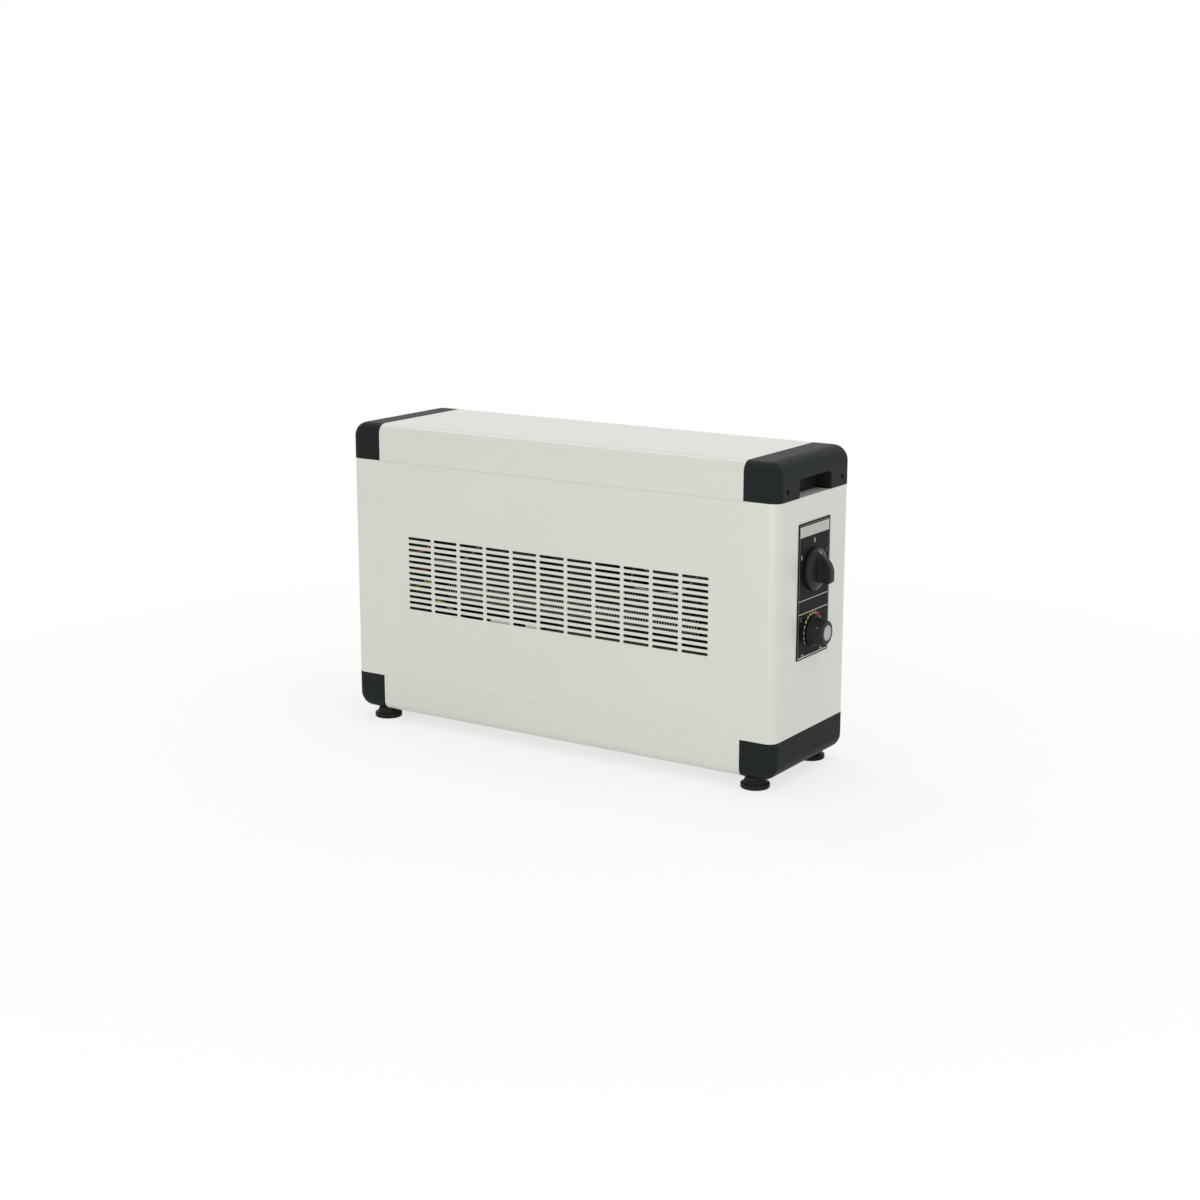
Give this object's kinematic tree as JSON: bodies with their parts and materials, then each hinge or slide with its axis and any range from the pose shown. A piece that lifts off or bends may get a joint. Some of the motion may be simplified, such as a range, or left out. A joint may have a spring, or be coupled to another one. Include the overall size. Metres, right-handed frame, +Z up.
{
  "type": "fan heater",
  "caption": "Free-standing fan heater: a painted steel box between black moulded end caps, with a slotted outlet grille, side controls and levelling feet.",
  "frame": {"origin": "centre of the box's underside: on the surface that the feet stand on", "axes": "+X to the right along the front, towards the controls; +Y from the front to the back; +Z up"},
  "size_m": [0.6256, 0.1774, 0.377],
  "materials": {
    "paint": "satin",
    "cap_plastic": "fine grain",
    "knob_plastic": "satin",
    "control_black": "satin",
    "switch_plastic": "matt",
    "zinc": "zinc plated",
    "screw_steel": "zinc plated",
    "shaft_steel": "ground",
    "bright_cap": "satin",
    "copper": "satin",
    "bearing_brass": "satin",
    "element_steel": "oxidised",
    "fin_steel": "oxidised",
    "ceramic": "glazed",
    "core_steel": "varnished sheets",
    "impeller_aluminium": "satin",
    "foot_plastic": "satin"
  },
  "bodies": {
    "casing": {"top_cover": "paint", "bottom_cover": "paint", "front_panel": "paint", "rear_panel": "paint", "left_side_panel": "paint", "right_side_panel": "paint", "top_left_cap": "cap_plastic", "top_right_cap": "cap_plastic", "bottom_left_cap": "cap_plastic", "bottom_right_cap": "cap_plastic", "cap_tabs": "zinc", "cap_screws": "screw_steel", "rear_screws": "screw_steel", "control_plate": "control_black", "switch_body": "switch_plastic", "thermostat_body": "zinc", "capillary_bulb": "copper", "bulb_clips": "zinc", "element_tube": "element_steel", "element_fins": "fin_steel", "element_insulators": "ceramic", "element_terminals": "zinc", "left_element_bracket": "zinc", "right_element_bracket": "zinc", "bracket_screws": "screw_steel", "mid_plate": "zinc", "motor_strap": "zinc", "motor_core": "core_steel", "motor_coil": "copper", "front_bearing_bridge": "bearing_brass", "rear_bearing_bridge": "bearing_brass", "motor_screws": "screw_steel", "safety_cutout": "switch_plastic", "terminal_block": "ceramic", "cable_gland": "cap_plastic", "foot_nuts": "zinc"},
    "switch": {"switch_knob": "knob_plastic", "switch_shaft": "zinc"},
    "thermostat": {"thermostat_knob": "knob_plastic", "thermostat_knob_cap": "bright_cap", "thermostat_shaft": "zinc"},
    "fan": {"impeller": "impeller_aluminium", "impeller_nut": "zinc", "fan_shaft": "shaft_steel", "motor_rotor": "core_steel"},
    "leveller_front_left": {"front_left_foot": "foot_plastic", "front_left_stud": "zinc"},
    "leveller_front_right": {"front_right_foot": "foot_plastic", "front_right_stud": "zinc"},
    "leveller_rear_left": {"rear_left_foot": "foot_plastic", "rear_left_stud": "zinc"},
    "leveller_rear_right": {"rear_right_foot": "foot_plastic", "rear_right_stud": "zinc"}
  },
  "joints": [
    {"name": "switch_turn", "type": "hinge", "parent": "casing", "child": "switch", "pos_m": [0.28775, -0.00175, 0.2462], "axis": [1, 0, 0], "range_deg": [-60, 60]},
    {"name": "thermostat_turn", "type": "hinge", "parent": "casing", "child": "thermostat", "pos_m": [0.28775, -0.00175, 0.1737], "axis": [1, 0, 0], "range_deg": [-196, 76]},
    {"name": "fan_spin", "type": "hinge", "parent": "casing", "child": "fan", "pos_m": [-0.01275, 0.04925, 0.1955], "axis": [0, -1, 0], "continuous": true},
    {"name": "front_left_foot_screw", "type": "slide", "parent": "casing", "child": "leveller_front_left", "axis": [0, 0, -1], "range_m": [0, 0.008]},
    {"name": "front_right_foot_screw", "type": "slide", "parent": "casing", "child": "leveller_front_right", "axis": [0, 0, -1], "range_m": [0, 0.008]},
    {"name": "rear_left_foot_screw", "type": "slide", "parent": "casing", "child": "leveller_rear_left", "axis": [0, 0, -1], "range_m": [0, 0.008]},
    {"name": "rear_right_foot_screw", "type": "slide", "parent": "casing", "child": "leveller_rear_right", "axis": [0, 0, -1], "range_m": [0, 0.008]}
  ]
}
